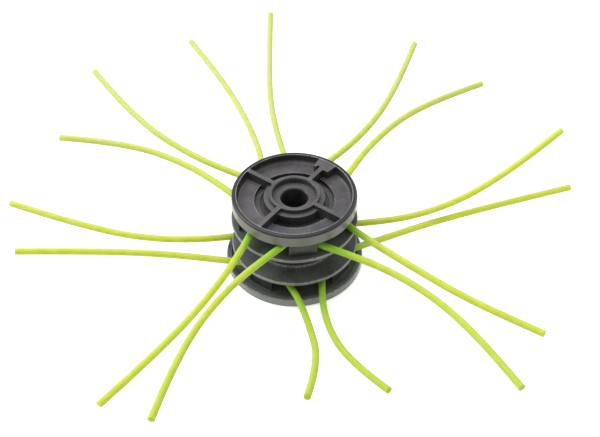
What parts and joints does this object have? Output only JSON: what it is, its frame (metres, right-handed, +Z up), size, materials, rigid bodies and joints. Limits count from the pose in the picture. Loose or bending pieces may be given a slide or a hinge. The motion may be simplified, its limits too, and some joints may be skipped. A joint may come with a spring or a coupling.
{
  "type": "fixed line trimmer head",
  "caption": "Round plastic head of two stacked spools on one bolt bore, with stiff cutting lines passed through both grooves and standing out all round.",
  "frame": {"origin": "on the bore's axis, at the underside of the base disc's foot ring", "axes": "+Z up along the bore, from the base disc to the collar seat; +X and +Y through the pillars of the upper spool, so the pad on the top disc lies between +X and +Y"},
  "size_m": [0.3458, 0.3626, 0.053],
  "materials": {
    "spool_plastic": "satin",
    "line_nylon": "translucent gloss"
  },
  "bodies": {
    "root": {"upper_spool": "spool_plastic", "lower_spool": "spool_plastic", "upper_line_1": "line_nylon", "upper_line_2": "line_nylon", "upper_line_3": "line_nylon", "upper_line_4": "line_nylon", "lower_line_1": "line_nylon", "lower_line_2": "line_nylon", "lower_line_3": "line_nylon", "lower_line_4": "line_nylon"}
  },
  "joints": []
}
